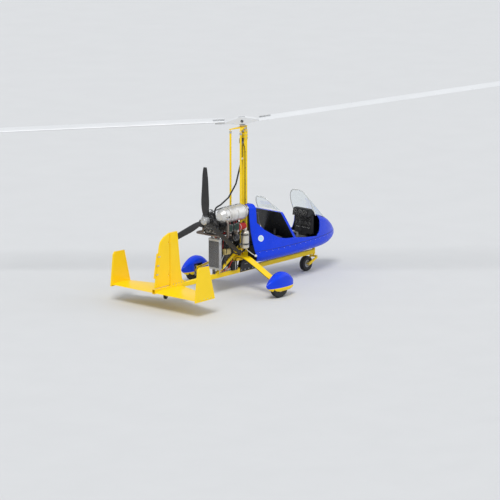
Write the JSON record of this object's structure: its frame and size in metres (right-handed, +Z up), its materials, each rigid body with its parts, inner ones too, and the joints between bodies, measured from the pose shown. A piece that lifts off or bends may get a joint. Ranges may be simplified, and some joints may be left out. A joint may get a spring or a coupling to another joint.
{
  "type": "gyrocopter",
  "caption": "Tandem open-cockpit autogyro: teetering rotor on a mast, pod with screens, open pusher engine and propeller, tricycle gear, boxed tail.",
  "frame": {"origin": "on the ground under the rotor hub, on the middle line, 65 mm behind the middle of the mast", "axes": "+X to the nose, +Y to the port side, +Z up"},
  "size_m": [5.3537, 6.551, 3.1843],
  "materials": {
    "yellow_paint": "gloss",
    "yellow_shell": "gloss",
    "blue_shell": "gloss",
    "white_blade": "satin",
    "bare_alloy": "satin",
    "dark_alloy": "satin",
    "tank_alloy": "satin",
    "core_alloy": "matte",
    "silencer_steel": "satin",
    "pipe_steel": "satin",
    "black_steel": "satin",
    "black_plastic": "matte",
    "fuel_tank": "matte",
    "filter_red": "matte",
    "seat_fabric": "matte",
    "black_rubber": "matte",
    "tyre": "matte",
    "screen": "polished",
    "propeller": "satin"
  },
  "bodies": {
    "airframe": {"keel": "yellow_paint", "mast": "yellow_paint", "mast_cheeks": "yellow_paint", "mast_strut": "yellow_paint", "control_mixer": "yellow_paint", "gear_leg": "yellow_shell", "gear_mount": "yellow_paint", "axle_knuckles": "yellow_paint", "wheel_fairings": "blue_shell", "stabilisers": "yellow_shell", "side_fins": "yellow_shell", "centre_fin": "yellow_shell", "tail_bracket": "black_steel", "lower_shell": "blue_shell", "upper_shell": "blue_shell", "seat_bulkhead": "blue_shell", "front_seat": "seat_fabric", "rear_seat": "seat_fabric", "seat_bases": "fuel_tank", "front_screen": "screen", "rear_screen": "screen", "instrument_panel": "black_plastic", "cockpit_controls": "black_steel", "crankcase": "bare_alloy", "gearbox": "dark_alloy", "cylinders": "dark_alloy", "carburettors": "bare_alloy", "air_filters": "filter_red", "silencer": "silencer_steel", "exhaust_pipes": "pipe_steel", "engine_mount": "black_steel", "radiator_core": "core_alloy", "radiator_tanks": "bare_alloy", "coolant_hoses": "black_rubber", "alternator": "dark_alloy", "oil_tank": "tank_alloy", "brackets": "black_steel", "prerotator_drive": "dark_alloy", "prerotator_hose": "black_rubber"},
    "left_wheel": {"left_tyre": "tyre", "left_rim": "bare_alloy"},
    "right_wheel": {"right_tyre": "tyre", "right_rim": "bare_alloy"},
    "fork": {"nose_fork": "yellow_paint"},
    "nose_wheel": {"nose_tyre": "tyre", "nose_rim": "bare_alloy"},
    "rudder": {"rudder": "yellow_shell", "trim_tab": "yellow_shell"},
    "tail_wheel": {"tail_wheel": "black_rubber"},
    "propeller": {"propeller_hub": "bare_alloy", "propeller_blades": "propeller"},
    "gimbal": {"gimbal_block": "bare_alloy"},
    "rotor_head": {"head_plate": "yellow_paint", "roll_hanger": "yellow_paint"},
    "left_rod": {"left_control_rod": "yellow_paint"},
    "right_rod": {"right_control_rod": "yellow_paint"},
    "bearing": {"hub_tower": "bare_alloy"},
    "rotor": {"hub_bar": "white_blade", "rotor_blades": "white_blade"}
  },
  "joints": [
    {"name": "left_wheel_spin", "type": "hinge", "parent": "airframe", "child": "left_wheel", "pos_m": [-0.12, 0.84, 0.165], "axis": [0, 1, 0], "continuous": true},
    {"name": "right_wheel_spin", "type": "hinge", "parent": "airframe", "child": "right_wheel", "pos_m": [-0.12, -0.84, 0.165], "axis": [0, 1, 0], "continuous": true},
    {"name": "nose_steer", "type": "hinge", "parent": "airframe", "child": "fork", "pos_m": [1.664, 0, 0.25], "axis": [0, 0, 1], "range_deg": [-30, 30]},
    {"name": "nose_wheel_spin", "type": "hinge", "parent": "fork", "child": "nose_wheel", "pos_m": [1.485, 0, 0.115], "axis": [0, 1, 0], "continuous": true},
    {"name": "tail_wheel_spin", "type": "hinge", "parent": "airframe", "child": "tail_wheel", "pos_m": [-1.687, 0, 0.162], "axis": [0, 1, 0], "continuous": true},
    {"name": "rudder_turn", "type": "hinge", "parent": "airframe", "child": "rudder", "pos_m": [-1.612, 0, 0.7], "axis": [0, 0, 1], "range_deg": [-25, 25]},
    {"name": "propeller_spin", "type": "hinge", "parent": "airframe", "child": "propeller", "pos_m": [-0.812, 0, 1.15], "axis": [1, 0, 0], "continuous": true},
    {"name": "head_pitch", "type": "hinge", "parent": "airframe", "child": "gimbal", "pos_m": [0.065, 0, 2.375], "axis": [0, 1, 0], "range_deg": [-9, 9]},
    {"name": "head_roll", "type": "hinge", "parent": "gimbal", "child": "rotor_head", "pos_m": [0.05968, 0, 2.40858], "axis": [0.9877, 0, 0.1564], "range_deg": [-8, 8]},
    {"name": "rotor_spin", "type": "hinge", "parent": "rotor_head", "child": "bearing", "pos_m": [0.01973, 0, 2.46908], "axis": [-0.1564, 0, 0.9877], "continuous": true},
    {"name": "teeter", "type": "hinge", "parent": "bearing", "child": "rotor", "pos_m": [0.00956, 0, 2.53328], "axis": [0.7566, 0.6428, 0.1198], "range_deg": [-7, 7]},
    {"name": "left_rod_slide", "type": "slide", "parent": "airframe", "child": "left_rod", "axis": [0, 0, 1], "range_m": [-0.032, 0.032]},
    {"name": "right_rod_slide", "type": "slide", "parent": "airframe", "child": "right_rod", "axis": [0, 0, 1], "range_m": [-0.032, 0.032]}
  ],
  "couplings": [
    {"joint": "left_rod_slide", "follows": "head_pitch", "m_per_rad": 0.2},
    {"joint": "right_rod_slide", "follows": "head_pitch", "m_per_rad": 0.2}
  ]
}
